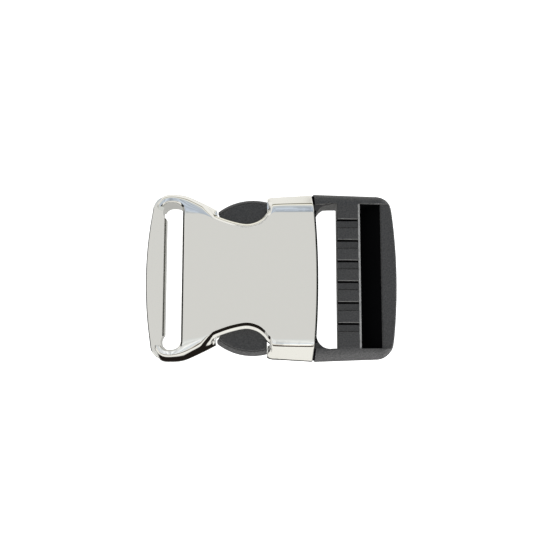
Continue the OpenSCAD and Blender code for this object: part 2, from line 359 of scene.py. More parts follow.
def flared_prism(name, points, bottom, top, radius):
    """A cutter whose upper and lower rims flare out in a round, so that it leaves rounded edges."""
    radius = np.broadcast_to(radius, len(points))
    wide = outline_normals(points) * radius[:, None]
    rims = rim_rings(points, wide, bottom, top, radius)
    return stack(name, [level(points + wide, bottom - OVER), *rims, level(points + wide, top + OVER)])


def rounded_prism(name, points, bottom, top, radius):
    """A plate whose upper and lower edges are rounded, by one radius or one for each point."""
    radius = np.broadcast_to(radius, len(points))
    wide = outline_normals(points) * radius[:, None]
    return stack(name, rim_rings(points, -wide, bottom, top, radius))


def prism(name, points, bottom, top):
    """An upright solid from an outline."""
    return stack(name, [level(points, bottom), level(points, top)])


def prism_y(name, points, y0, y1):
    """A solid from an outline in the X-Z plane, drawn along Y."""
    rings = [np.column_stack([points[:, 0], np.full(len(points), y), points[:, 1]]) for y in (y0, y1)]
    return stack(name, rings)


def box_solid(name, low, high):
    outline = np.array([[low[0], low[1]], [high[0], low[1]], [high[0], high[1]], [low[0], high[1]]])
    return prism(name, outline, low[2], high[2])


def finish_piece(obj, node, material):
    """Brings a piece to metres, smooths its shading and lets it stand for its node."""
    mesh = obj.data
    work = bmesh.new()
    work.from_mesh(mesh)
    bmesh.ops.dissolve_degenerate(work, dist=0.002, edges=work.edges)
    bmesh.ops.triangulate(work, faces=[f for f in work.faces if len(f.verts) > 4])
    work.to_mesh(mesh)
    work.free()
    points = np.empty(len(mesh.vertices) * 3, dtype=np.float32)
    mesh.vertices.foreach_get("co", points)
    mesh.vertices.foreach_set("co", points * MM)
    mesh.update()
    mesh.shade_smooth()
    mesh.set_sharp_from_angle(angle=SMOOTH_ANGLE)
    weighted = obj.modifiers.new("even shading", "WEIGHTED_NORMAL")
    weighted.keep_sharp = True
    weighted.weight = 100
    mesh.materials.clear()
    mesh.materials.append(material)
    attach(obj, "root")
    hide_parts(node)


# ---- the housing ----
def bow_radius(half, bow):
    return (half * half + bow * bow) / (2 * bow)


def bowed_x(x, y, half, bow):
    r = bow_radius(half, bow)
    return x - r + np.sqrt(r * r - y * y)


def row_at(s):
    """The outline's row at any station, counted in rows."""
    i = int(min(math.floor(s), LAST_ROW - 1))
    a, b, c, d = (OUTLINE[k] for k in (max(i - 1, 0), i, i + 1, min(i + 2, LAST_ROW)))
    t = s - i
    return b + t / 2 * ((c - a) + t * ((2 * a - 5 * b + 4 * c - d) + t * (3 * (b - c) + d - a)))


def along(share):
    return TIP_X + share * (MOUTH_X + OVER - TIP_X)


def scooped(s, points, flat, wide, below):
    """A section's points, drawn over to the scoop's own section where the station lies on a scoop."""
    share = np.interp(s, SCOOP_STATIONS, (0, 1, 1, 0))
    out, down = SCOOP.T
    outward = (wide - flat)[:2]
    outward /= np.linalg.norm(outward)
    scoop = np.column_stack([flat[0] + out * outward[0], flat[1] + out * outward[1], MID_Z - down])
    straight = np.interp(s, LIP_STATIONS, (1, 0, 0, 1))
    q = np.clip((np.arange(len(scoop)) - LIP_POINT) / (len(scoop) - LIP_POINT), 0, 1)[:, None]
    slope = np.where(q > 0, scoop[LIP_POINT] + (below - scoop[LIP_POINT]) * q, scoop)
    scoop = scoop * (1 - straight) + slope * straight
    return list(np.array(points) * (1 - share) + scoop * share)


def bent(start, corner, end, parts):
    """Points on the bend that rounds off a corner."""
    return [(1 - t) ** 2 * start + 2 * t * (1 - t) * corner + t * t * end for t in parts]


def quarter(s):
    """The upper quarter of a section, from the middle of the flat top round to the widest line."""
    row = row_at(s)
    flat = np.array([along(row[FLAT_X]), HALF_W * row[FLAT_Y], MID_Z])
    edge = np.array([along(row[EDGE_X]), HALF_W * row[EDGE_Y], MID_Z - EDGE_DROP])
    wide = np.array([along(row[OUT_X]), HALF_W * row[OUT_Y], 0.0])
    ridge = edge + (wide - edge) / (1 - RIDGE_SHARE / 2)
    ridge[2] = 0.0

    def shoulder(q):
        p = flat + (edge - flat) * q
        p[2] = MID_Z - EDGE_DROP * q * q
        return p

    bulge = np.interp(s, ARM_STATIONS, (1, 0))

    def side(q):
        p = edge + (ridge - edge) * (q + bulge * q * (1 - q))
        p[2] = edge[2] * (1 - q)
        return p

    before = 1 - EDGE_ROUND / max(np.linalg.norm(edge - flat), EDGE_ROUND * 2)
    after = EDGE_ROUND / np.linalg.norm(ridge - edge)
    points = [shoulder(q) for q in np.linspace(0, before, SHOULDER_STEPS + 1)]
    start, end = shoulder(before), side(after)
    points += bent(start, edge, end, EDGE_PARTS)
    points += [side(q) for q in (after, *SIDE_PARTS)]
    points = scooped(s, points, flat, wide, side(LOWER_SIDE))
    points += [side(q) for q in (LOWER_SIDE, 1 - RIDGE_SHARE)]
    start = side(1 - RIDGE_SHARE)
    points += bent(start, ridge, start * np.array([1, 1, -1]), RIDGE_PARTS)
    top = [np.array([flat[0], flat[1] * q, MID_Z]) for q in np.linspace(0, 1, FLAT_STEPS + 1)[:-1]]
    return np.array(top + points)


def whole_ring(q):
    """A quarter mirrored down and across, as one closed ring."""
    below = q[::-1][1:].copy()
    below[:, 2] *= -1
    right = np.concatenate([q, below])
    left = right[::-1][1:-1].copy()
    left[:, 1] *= -1
    ring = np.concatenate([right, left])
    ring[:, 2] += MID_Z
    return ring


def surface_rings():
    """The rings of the housing's outer skin, ending on the bowed mouth."""
    steps = STATIONS_PER_ROW
    rings = [whole_ring(quarter(k / steps)) for k in range((LAST_ROW - 1) * steps + 1)]
    finer = [whole_ring(quarter(LAST_ROW - 1 + k / (4 * steps))) for k in range(4 * steps + 1)]
    finer = np.array(finer)
    mouth = []
    for i in range(finer.shape[1]):
        line = finer[:, i]
        limit = bowed_x(MOUTH_X, line[:, 1], HALF_W, MOUTH_BOW)
        beyond = line[:, 0] - limit
        k = max(1, int(np.argmax(beyond > 0)))
        t = beyond[k - 1] / (beyond[k - 1] - beyond[k])
        stop = k - 1 + t
        back = MOUTH_ROUND / np.linalg.norm(line[k] - line[k - 1])
        at = np.linspace(0, stop - back, steps + 1)[1:]
        low = np.minimum(at.astype(int), len(line) - 2)
        part = (at - low)[:, None]
        mouth.append(line[low] * (1 - part) + line[low + 1] * part)
    mouth = np.array(mouth).transpose(1, 0, 2)
    rings.extend(mouth)
    return rings


def ring_normals(ring):
    """Outward normals of a ring within its own section."""
    flat = outline_normals(ring[:, 1:])
    centre = np.array([0, MID_Z])
    sign = np.sign(np.sum(flat * (ring[:, 1:] - centre), axis=1).sum())
    return np.column_stack([np.zeros(len(ring)), flat * sign])


def closing(ring, x_of):
    """Rings that close an end, drawn in towards the middle."""
    rings = []
    for share in CLOSING_SHARES:
        inner = ring.copy()
        inner[:, 1] *= share
        inner[:, 2] = MID_Z + (inner[:, 2] - MID_Z) * share
        inner[:, 0] = x_of(inner)
        rings.append(inner)
    return rings


def housing_form():
    """The housing's outer form with its rounded mouth and rounded tips."""
    rings = surface_rings()
    last = rings[-1]
    normal = ring_normals(last)
    ends = []
    for t in np.linspace(0, 90, ROUND_STEPS + 1)[1:]:
        a = math.radians(t)
        moved = last - normal * MOUTH_ROUND * (1 - math.cos(a))
        moved[:, 0] = last[:, 0] + MOUTH_ROUND * math.sin(a)
        ends.append(moved)
    ends += closing(ends[-1], lambda p: bowed_x(MOUTH_X, p[:, 1], HALF_W, MOUTH_BOW))
    first = rings[0]
    normal = ring_normals(first)
    starts = []
    for t in np.linspace(90, 0, ROUND_STEPS + 1)[:-1]:
        a = math.radians(t)
        moved = first - normal * TIP_ROUND * (1 - math.cos(a))
        moved[:, 0] = first[:, 0] - TIP_ROUND * math.sin(a) * TIP_BULGE
        starts.append(moved)
    inner = closing(starts[0], lambda p: p[:, 0])
    return stack("socket_housing", inner[::-1] + starts + rings + ends)


def top_height(x, y):
    """How high the housing's upper skin lies at points near the webbing slot, from its first rows."""
    rows = np.array([row_at(s) for s in np.linspace(0, 4, 60)])
    border = np.interp(x, along(rows[:, FLAT_X]), HALF_W * rows[:, FLAT_Y])
    edge = np.interp(x, along(rows[:, EDGE_X]), HALF_W * rows[:, EDGE_Y])
    q = np.clip((np.abs(y) - border) / (edge - border), 0, 1)
    return HEIGHT - EDGE_DROP * q * q


def slot_cutter():
    """The webbing slot, with rims that follow the skin's height."""
    corner_y = SLOT_HALF - SLOT_CORNER
    relief = (SLOT_X0 - RELIEF_D + RELIEF_R, SLOT_HALF - RELIEF_R)
    stop_x = SLOT_X0 + 0.04
    turn = math.degrees(math.acos((stop_x - relief[0]) / RELIEF_R))
    half = np.concatenate([
        arc((SLOT_X1 - SLOT_CORNER, corner_y), SLOT_CORNER, 0, 90, 10),
        arc(relief, RELIEF_R, 90, 360 - turn, 18),
    ])
    points = without_twins(resampled(np.concatenate([half, mirror_y(half)]), 1.0))
    top = top_height(points[:, 0], points[:, 1])
    radius = np.interp(points[:, 0], (SLOT_X1 - RIGHT_BLEND, SLOT_X1), (SLOT_ROUND, SLOT_ROUND_RIGHT))
    ends = np.interp(abs(points[:, 1]), [SLOT_HALF - blend for blend in END_BLEND], (0, SLOT_ROUND_END))
    radius = np.maximum(radius, ends)
    return flared_prism("slot", points, HEIGHT - top, top, radius)


def end_bar():
    """The bar behind the webbing slot, bowed outside, with round corners and rounded edges."""
    corner_y = HALF_W - ARM_W / 4 - END_CORNER
    r = bow_radius(corner_y, END_BOW)
    inner_x = SLOT_X0
    y = np.linspace(0, corner_y - 1, 24)
    bowed = np.column_stack([END_X + r - np.sqrt(r * r - y * y), y])
    corner = arc((END_X + END_BOW + END_CORNER, corner_y), END_CORNER, 176, 90, 12)
    inner = [
        [inner_x + OVER, corner_y + END_CORNER],
        [inner_x + OVER, SLOT_HALF - 0.4],
        [inner_x, SLOT_HALF - 0.4],
    ]
    half = np.concatenate([bowed, corner, inner])
    outline = np.concatenate([half[::-1], mirror_y(half)[::-1][1:]])
    points = without_twins(resampled(outline, 1.2))
    area = np.sum(points[:, 0] * np.roll(points[:, 1], -1) - points[:, 1] * np.roll(points[:, 0], -1))
    if area < 0:
        points = points[::-1]
    radius = np.where(points[:, 0] > inner_x - 0.01, BAR_ROUND_INNER, BAR_ROUND)
    return rounded_prism("end_bar", points, MID_Z - END_BAR_T / 2, MID_Z + END_BAR_T / 2, radius)


def hollow_tools():
    """The hollow between the shells and the side windows."""
    back_x = SLOT_X1 + SHELL_T
    half = np.array([
        [MOUTH_X + OVER, HOLLOW_HALF],
        [LATCH_X, HOLLOW_HALF],
        [LATCH_X, HALF_W * BACK_HALF],
        [back_x, HALF_W * BACK_HALF],
    ])
    hollow = prism("hollow", np.concatenate([half, mirror_y(half)]), SHELL_T, HEIGHT - SHELL_T)
    tools = [hollow]
    for side in (1, -1):
        window = np.array([
            [LATCH_X, HALF_W * BACK_HALF * side],
            [LATCH_X, (HALF_W + OVER) * side],
            [WINDOW_X - WINDOW_SLANT, (HALF_W + OVER) * side],
            [WINDOW_X, HALF_W * SLANT_HALF * side],
            [WINDOW_X, HALF_W * BACK_HALF * side],
        ])
        lip = SHELL_T + WINDOW_LIP
        tools.append(prism("window", window, lip, HEIGHT - lip))
    return tools


def round_window_rims(obj):
    """Rounds the edges where the side walls run out into the windows."""
    mesh = obj.data
    work = bmesh.new()
    work.from_mesh(mesh)
    work.normal_update()
    rims = []
    for edge in work.edges:
        if len(edge.link_faces) != 2:
            continue
        roof, wall = sorted(edge.link_faces, key=lambda f: -abs(f.normal.z))
        middle = (edge.verts[0].co + edge.verts[1].co) / 2
        on_roof = abs(abs(middle.z - MID_Z) - (MID_Z - SHELL_T - WINDOW_LIP)) <= 0.02
        level_roof = abs(roof.normal.z) >= 0.999 and roof.normal.z * (middle.z - MID_Z) <= 0
        outer_wall = 0.05 <= abs(wall.normal.z) <= 0.9 and abs(wall.normal.x) <= 0.95
        beside = WINDOW_X - 4 < middle.x < LATCH_X + 1 and abs(middle.y) >= 14
        if not (on_roof and level_roof and outer_wall and beside):
            continue
        rims.append(edge)
    bmesh.ops.bevel(
        work, geom=rims, offset=WINDOW_RIM, segments=5, profile=0.5, affect="EDGES", clamp_overlap=True
    )
    work.to_mesh(mesh)
    work.free()
    mesh.update()


def socket_housing():
    housing = housing_form()
    step_half = SLOT_HALF - RELIEF_R / 2
    x1 = (SLOT_X0 + SLOT_X1) / 2
    cut(housing, box_solid("step", (END_X - OVER, -step_half, -OVER), (x1, step_half, HEIGHT + OVER)))
    add(housing, end_bar())
    cut(housing, slot_cutter(), *hollow_tools())
    round_window_rims(housing)
    finish_piece(housing, "socket_housing", plated_metal())


# ---- the plug ----
def plug_body(name, shrink=0.0):
    """The plug's outer body: flat above and below, its sides rounded over their whole height."""
    front_x = MOUTH_X + MOUTH_GAP
    corner_x = REAR_X - REAR_BOW - REAR_CORNER
    front_half = HALF_W * RAIL_FRONT
    rear_half = HALF_W * RAIL_REAR
    rear_r = bow_radius(HALF_W - REAR_CORNER, REAR_BOW)
    y = np.linspace(0, rear_half - REAR_CORNER, 24)
    rear = np.column_stack([bowed_x(REAR_X, y, HALF_W - REAR_CORNER, REAR_BOW), y])
    corner = arc((corner_x + 0.02, rear_half - REAR_CORNER), REAR_CORNER, 4, 90, 14)
    side_x = np.linspace(corner_x, front_x - 2 * MOUTH_BOW, 16)[1:]
    share = (side_x - corner_x) / (side_x[-1] - corner_x)
    side = np.column_stack([side_x, rear_half + (front_half - rear_half) * share])
    half = np.concatenate([rear, corner, side])
    points = np.concatenate([half, mirror_y(half)[:-1]])
    normal = outline_normals(points)
    sideways = np.clip((REAR_X - points[:, 0]) / (REAR_BOW + REAR_CORNER), 0, 1) ** 1.5
    width = HALF_W - OPENING_HALF
    rings = []
    for t in np.linspace(-90, 90, 41):
        a = math.radians(t)
        z = MID_Z + PLUG_H / 2 * math.sin(a)
        drawn_in = MID_Z + (PLUG_H / 2 - shrink) * math.sin(a)
        inset_side = width * (1 - math.cos(a))
        inner = max(abs(z - MID_Z) - (PLUG_H / 2 - REAR_EDGE), 0)
        inset_rear = REAR_EDGE - math.sqrt(max(REAR_EDGE ** 2 - inner ** 2, 0))
        inset = inset_side * sideways + inset_rear * (1 - sideways)
        rings.append(level(points - normal * (inset[:, None] + shrink), drawn_in))
    return stack(name, rings)


def mouth_seam(points):
    """The narrow recess along the rails' front edge, where they meet the housing's mouth."""
    band = prism("seam", points, -2, HEIGHT + 2)
    cut(band, plug_body("seam_core", SEAM_D))
    return band


def soft_edge(x0, x1, side):
    """A cutter for the small bevel along the inner top edge of a rail."""
    y = OPENING_HALF * side
    out = EDGE_BEVEL * side
    profile = np.array([
        [y - out, RAIL_Z1 - 2 * EDGE_BEVEL],
        [y, RAIL_Z1 - EDGE_BEVEL],
        [y + out, RAIL_Z1],
        [y + out, RAIL_Z1 + OVER],
        [y - out, RAIL_Z1 + OVER],
    ])
    return stack("bevel", [np.column_stack([np.full(len(profile), x), profile]) for x in (x0, x1)])


def front_cutters(body):
    """Trims the rails along the mouth and gives the cutter of the front opening."""
    deep_x = MOUTH_X - 9
    far_y = HALF_W + 2
    y = np.linspace(-far_y, far_y, 80)
    r = bow_radius(HALF_W, MOUTH_BOW)

    def behind(gap):
        edge = np.column_stack([MOUTH_X - r + np.sqrt((r + gap) ** 2 - y * y), y])
        return np.concatenate([edge, [[deep_x, far_y]], [[deep_x, -far_y]]])

    cut(body, prism("mouth", behind(SEAM_GAP), -2, HEIGHT + 2))
    cut(body, mouth_seam(behind(SEAM_GAP + SEAM_W)))
    low_top = HEIGHT - SHELL_T - INNER_GAP
    for z0, z1 in ((low_top, HEIGHT + OVER), (-OVER, HEIGHT - low_top)):
        low = (deep_x, -OPENING_HALF, z0)
        high = (FRONT_X1 + FRONT_CORNER - MOUTH_BOW / 2, OPENING_HALF, z1)
        cut(body, box_solid("corner_step", low, high))
    y = np.linspace(-(OPENING_HALF - FRONT_CORNER), OPENING_HALF - FRONT_CORNER, 40)
    bar = np.column_stack([FRONT_X1 - r + np.sqrt(r * r - y * y), y])[::-1]
    centre_x = FRONT_X1 - MOUTH_BOW / 2 + FRONT_CORNER
    upper = arc((centre_x, OPENING_HALF - FRONT_CORNER), FRONT_CORNER, 90, 176, 10)
    lower = arc((centre_x, -(OPENING_HALF - FRONT_CORNER)), FRONT_CORNER, 184, 270, 10)
    points = np.concatenate([upper, bar, lower, [[RIBBED_X0, -OPENING_HALF]], [[RIBBED_X0, OPENING_HALF]]])
    points = without_twins(resampled(points, 0.8))
    top = np.where(points[:, 0] < FRONT_X1 + FRONT_CORNER - 0.4, low_top, RAIL_Z1)
    return flared_prism("front_opening", points, RAIL_Z0, top, RIM_ROUND)


def rear_profile():
    """The rear opening seen along Y, with the rounded edges of the two bars beside it."""
    under_z = RAIL_Z1 - RIBBED_T
    step_z = RAIL_Z1 - END_STEP
    lip_x = RIBBED_X0 + (RIBBED_X1 - RIBBED_X0) * LIP_AT
    heel_x = RIBBED_X0 + (RIBBED_X1 - RIBBED_X0) * HEEL_AT
    strip = [
        [RIBBED_X1 - STRIP_W, RAIL_Z1],
        [RIBBED_X1 - 0.1, RAIL_Z1 - STRIP_H],
        [RIBBED_X1, RAIL_Z1 - STRIP_H - 0.12],
    ]
    lip = [
        [REAR_X0 + BAR_LIP_W - BAR_LIP_W * math.sin(a) * 0.9, step_z - BAR_LIP_H + BAR_LIP_H * math.cos(a)]
        for a in np.radians(np.linspace(0, 80, 6))
    ]
    return np.array(
        [[RIBBED_X1 - STRIP_W, RAIL_Z1 + OVER], [REAR_X + OVER, RAIL_Z1 + OVER], [REAR_X + OVER, step_z]]
        + lip
        + [[lip_x, RAIL_Z0], [lip_x, RAIL_Z0 - OVER], [RIBBED_X0 - OVER, RAIL_Z0 - OVER],
           [RIBBED_X0 - OVER, under_z], [heel_x, under_z]]
        + strip[::-1]
    )


def grooves():
    """The grooves of the ribbed bar, with a deep notch on their far side and a faint one on the near."""
    pitch = (2 * OPENING_HALF - GROOVE_W) / (GROOVE_COUNT + 0.5)
    tools = []
    for k in range(GROOVE_COUNT):
        y = (k - (GROOVE_COUNT - 1) / 2) * pitch
        half = GROOVE_W / 2
        profile = np.array([
            [y - half, RAIL_Z1 + 0.1],
            [y - half + GROOVE_D, RAIL_Z1 - GROOVE_D],
            [y + half - GROOVE_D, RAIL_Z1 - GROOVE_D],
            [y + half, RAIL_Z1 - 0.05],
            [y + half + 0.15, RAIL_Z1 + 0.1],
        ])
        notch = np.array([
            [y + half - NOTCH_W, RAIL_Z1 - NOTCH_D],
            [y + half, RAIL_Z1 - NOTCH_D],
            [y + half, RAIL_Z1 - 0.2],
            [y + half + 0.06, RAIL_Z1 - 0.08],
            [y + half + 0.2, RAIL_Z1 + 0.02],
            [y + half - NOTCH_W, RAIL_Z1 + 0.02],
        ])
        low = y - half + GROOVE_D
        faint = np.array([
            [low - FAINT_W, RAIL_Z1 - GROOVE_D - FAINT_D],
            [low - FAINT_W / 3, RAIL_Z1 - GROOVE_D - FAINT_D],
            [low, RAIL_Z1 - GROOVE_D + 0.1],
            [low - FAINT_W - 0.1, RAIL_Z1],
        ])
        for shape in (profile, notch, faint):
            span = (RIBBED_X0 - OVER, RIBBED_X1 - STRIP_W)
            rings = [np.column_stack([np.full(len(shape), x), shape]) for x in span]
            tools.append(stack("groove", rings))
    return tools


def bevels():
    """The small bevels along the rails' inner top edges, beside each opening."""
    tools = []
    for side in (1, -1):
        tools.append(soft_edge(FRONT_X1 + FRONT_CORNER * 0.4, RIBBED_X0 - 0.3, side))
        tools.append(soft_edge(RIBBED_X1 - 0.2, REAR_X - 2.2, side))
    return tools


def inner_parts():
    """The front bar, the guide and the prongs inside the housing."""
    z0 = SHELL_T + INNER_GAP
    z1 = HEIGHT - z0
    bar_x0 = MOUTH_X - MOUTH_BOW - 2 * PRONG_T
    bar_half = HOLLOW_HALF - INNER_GAP
    y = np.linspace(-bar_half, bar_half, 60)
    r = bow_radius(HALF_W, MOUTH_BOW)
    edge = np.column_stack([FRONT_X1 - r + np.sqrt(r * r - y * y), y])
    bar = np.concatenate([edge, [[bar_x0, bar_half], [bar_x0, -bar_half]]])
    parts = [rounded_prism("front_bar", without_twins(resampled(bar, 1.5)), z0, z1, INNER_ROUND)]
    guide_tip = WINDOW_X + PRONG_T
    guide = np.concatenate([
        [[bar_x0 + OVER, -GUIDE_W / 2], [bar_x0 + OVER, GUIDE_W / 2]],
        arc((guide_tip, 0), GUIDE_W / 2, 90, 270, 24),
    ])
    # A little lower than the bar, so that no two faces share a plane.
    parts.append(rounded_prism("guide", without_twins(guide), z0 + 0.02, z1 - 0.02, INNER_ROUND))
    arm_out = HOLLOW_HALF - INNER_GAP - PRONG_T / 2
    face_x = LATCH_X - FACE_GAP
    for side in (1, -1):
        low, high = sorted((side * (arm_out - PRONG_T), side * arm_out))
        arm_z = z0 + WINDOW_LIP
        low_corner = (face_x - PRONG_T, low, arm_z)
        parts.append(box_solid("prong_arm", low_corner, (MOUTH_X - MOUTH_BOW - 3, high, HEIGHT - arm_z)))
        parts.append(prong_head(side, z0, z1, arm_out, face_x))
    return parts


def prong_head(side, z0, z1, arm_out, face_x):
    """The rounded head of a prong, crowned outside and rounded along its upper and lower edges."""
    apex = np.array([face_x - HEAD_L * APEX_AT, HALF_W * APEX_HALF - HEAD_R])
    tip_x = face_x - HEAD_L
    half_h = (z1 - z0) / 2 - WINDOW_LIP
    side_r = HEAD_R - HEAD_CROWN
    top = [(side_r - inset, half_h - depth) for inset, depth in HEAD_CREASE]
    wall = [(HEAD_R - HEAD_CROWN * q * q, q * (half_h - HEAD_CREASE[0][1])) for q in np.linspace(-1, 1, 13)]
    profile = [(r, -h) for r, h in top[::-1]] + wall[1:-1] + top
    disc = [level(arc(apex, r, 0, 358.5, 239), MID_Z + h) for r, h in profile]
    outline = np.array([
        [face_x, HALF_W + OVER],
        [tip_x, HALF_W + OVER],
        [tip_x, HALF_W * TIP_HALF],
        [tip_x + HEAD_L * TIP_TAPER, HALF_W * HEAD_IN_HALF],
        [face_x - PRONG_T, HALF_W * HEAD_IN_HALF],
        [face_x, arm_out - PRONG_T],
    ])
    block = level(outline, z0 - OVER), level(outline, z1 + OVER)
    if side < 0:
        disc = [ring * np.array([1, -1, 1]) for ring in disc]
        block = [ring * np.array([1, -1, 1]) for ring in block]
    head = stack("prong_head", disc)
    combine(head, stack("head_block", block), "INTERSECT")
    for up in (1, -1):
        z = MID_Z + up * half_h
        edge = np.array([
            [face_x - HEAD_BEVEL, z + up * 0.02],
            [face_x + 0.02, z - up * HEAD_BEVEL],
            [face_x + 0.1, z + up * OVER],
            [face_x - HEAD_BEVEL, z + up * OVER],
        ])
        cut(head, prism_y("head_bevel", edge, side * 10 - 20, side * 10 + 20))
    return head


def in_openings(x, y):
    """Whether a place lies on the ribbed bar or in the rear opening, seen from above."""
    return RIBBED_X0 + 1 < x < REAR_X0 + 0.1 and abs(y) < OPENING_HALF + 0.01


def in_painted_shade(x, y, z):
    """Whether a place on the plug's skin lies deep in the rear opening, in a notch or in the seam, where
    shade is painted into the plastic's colour.
    """
    deep = in_openings(x, y) and z < RAIL_Z1 - GROOVE_D - 0.15
    bow = bow_radius(HALF_W, MOUTH_BOW)
    from_mouth = math.hypot(x - MOUTH_X + bow, y) - bow
    return deep or (x > 10 and SEAM_GAP - 0.05 < from_mouth < SEAM_GAP + SEAM_W + 0.02)


def in_painted_highlight(x, y, z, normal):
    """Whether a place lies on the ribbed bar's edge strip or on the near rim of a groove, where a highlight
    is painted into the plastic's colour.
    """
    strip = normal.x > 0.4 and abs(x - RIBBED_X1 + STRIP_W / 2) < 0.25 and z > RAIL_Z1 - STRIP_H - 0.1
    rim = normal.y < -0.3 and RAIL_Z1 - 0.09 < z < RAIL_Z1
    return strip or (rim and in_openings(x, y) and x < RIBBED_X1 and abs(y) < OPENING_HALF - 1)


def colour_plastic(plug):
    """Painted shade, a near-black plastic, deep in the openings, notches and seam, and a painted highlight,
    a pale plastic, on the ribbed bar's edge strip and the near rims of its grooves.
    """
    plug.data.materials.append(painted_shade_plastic())
    plug.data.materials.append(painted_highlight_plastic())
    for face in plug.data.polygons:
        x, y, z = (v / MM for v in face.center)
        if in_painted_highlight(x, y, z, face.normal):
            face.material_index = 2
        elif in_painted_shade(x, y, z):
            face.material_index = 1


def prong_plug():
    plug = plug_body("prong_plug")
    opening = front_cutters(plug)
    cut(plug, prism_y("rear_space", rear_profile(), -OPENING_HALF, OPENING_HALF))
    cut(plug, *grooves())
    cut(plug, *bevels())
    add(plug, *inner_parts())
    cut(plug, opening)
    finish_piece(plug, "prong_plug", moulded_plastic())
    # Paints shade into the deep places and a highlight onto the edge strip and the groove rims.
    colour_plastic(plug)
    # The metal mirrors the studio's light and not the plug.
    plug.visible_glossy = False


# ---- materials ----
def new_material(name):
    material = bpy.data.materials.new(name)
    material.use_nodes = True
    nodes = material.node_tree.nodes
    return material, nodes, material.node_tree.links, nodes["Principled BSDF"]


def mapped(nodes, links, source, start, end, low=0.0, high=1.0):
    """The source brought from one range to another, clamped."""
    node = nodes.new("ShaderNodeMapRange")
    node.inputs["From Min"].default_value = start
    node.inputs["From Max"].default_value = end
    node.inputs["To Min"].default_value = low
    node.inputs["To Max"].default_value = high
    links.new(source, node.inputs["Value"])
    return node.outputs["Result"]


def noise(nodes, links, scale, detail=2.0):
    """A noise that is fixed to the object."""
    place = nodes.new("ShaderNodeTexCoord")
    texture = nodes.new("ShaderNodeTexNoise")
    texture.inputs["Scale"].default_value = scale
    texture.inputs["Detail"].default_value = detail
    links.new(place.outputs["Object"], texture.inputs["Vector"])
    return texture.outputs["Fac"]


def bumped(nodes, links, shader, pattern, strength, distance):
    """Lets a pattern tilt the surface as a relief would."""
    bump = nodes.new("ShaderNodeBump")
    bump.inputs["Strength"].default_value = strength
    bump.inputs["Distance"].default_value = distance
    links.new(pattern, bump.inputs["Height"])
    links.new(bump.outputs["Normal"], shader.inputs["Normal"])


def toned(nodes, links, shader, pattern, dark, light):
    """Lets a pattern shift the base colour between two tones."""
    tone = nodes.new("ShaderNodeValToRGB")
    for element, position, colour in zip(tone.color_ramp.elements, (0.3, 0.7), (dark, light)):
        element.position = position
        element.color = (*colour, 1)
    links.new(pattern, tone.inputs["Fac"])
    links.new(tone.outputs["Color"], shader.inputs["Base Color"])


def plated_metal():
    """Bright plating on polished die-cast metal: a mirror with the faint waviness of the casting."""
    material, nodes, links, shader = new_material("plated metal")
    shader.inputs["Base Color"].default_value = (0.86, 0.855, 0.83, 1)
    shader.inputs["Metallic"].default_value = 1.0
    shader.inputs["Roughness"].default_value = 0.06
    bumped(nodes, links, shader, noise(nodes, links, 170.0), 0.12, 0.0004)
    return material


def moulded_plastic():
    """Black moulded plastic with a fine matte grain."""
    material, nodes, links, shader = new_material("moulded plastic")
    shader.inputs["Roughness"].default_value = 0.45
    shader.inputs["Specular IOR Level"].default_value = 0.4
    grain = noise(nodes, links, 2400.0, 3.0)
    toned(nodes, links, shader, grain, (0.031, 0.031, 0.032), (0.067, 0.066, 0.067))
    bumped(nodes, links, shader, grain, 1.0, 0.00018)
    return material


def painted_shade_plastic():
    """The same plastic painted near black deep in the openings, notches and seam: painted shade where
    little light reaches.
    """
    material, nodes, links, shader = new_material("painted shade plastic")
    # Painted shade: a near-black colour with no reflection.
    shader.inputs["Base Color"].default_value = (0.004, 0.004, 0.0045, 1)
    shader.inputs["Specular IOR Level"].default_value = 0.0
    gloss = mapped(nodes, links, noise(nodes, links, 500.0), 0.0, 1.0, 0.25, 0.4)
    links.new(gloss, shader.inputs["Roughness"])
    return material


def painted_highlight_plastic():
    """The same plastic painted pale as a highlight on the ribbed bar's edge and the rims of its grooves."""
    material, nodes, links, shader = new_material("painted highlight plastic")
    shader.inputs["Roughness"].default_value = 0.3
    # Painted highlight: a pale tone that varies at random.
    toned(nodes, links, shader, noise(nodes, links, 900.0), (0.11, 0.11, 0.11), (0.17, 0.17, 0.17))
    return material


# ---- the studio ----
def pale_floor():
    """A plain lit table. It is left out of the mirror's view, which sees the studio's soft light."""
    floor = mesh_object("floor", [(-1, -1, 0), (1, -1, 0), (1, 1, 0), (-1, 1, 0)], [(0, 1, 2, 3)])
    material, nodes, links, shader = new_material("white table")
    shader.inputs["Base Color"].default_value = (0.9, 0.9, 0.9, 1)
    shader.inputs["Roughness"].default_value = 1.0
    shader.inputs["Emission Color"].default_value = (1, 1, 1, 1)
    shader.inputs["Emission Strength"].default_value = 1.0
    floor.data.materials.append(material)
    floor.visible_glossy = False


def painted_shade_card():
    """A grey card just under the floor, its colour a painted shade of the table right below the buckle,
    which only the metal's mirror sees.
    """
    x0, x1, y, z = END_X * MM, REAR_X * MM, HALF_W * MM, -0.0002
    card = mesh_object("painted_shade_card", [(x0, -y, z), (x1, -y, z), (x1, y, z), (x0, y, z)], [(0, 1, 2, 3)])
    material, nodes, links, shader = new_material("painted shade card")
    # Painted shade: the grey stands in for the table in the buckle's shadow.
    shader.inputs["Base Color"].default_value = (0.38, 0.38, 0.37, 1)
    shader.inputs["Roughness"].default_value = 1.0
    card.data.materials.append(material)
    card.visible_diffuse = False
    card.visible_camera = False


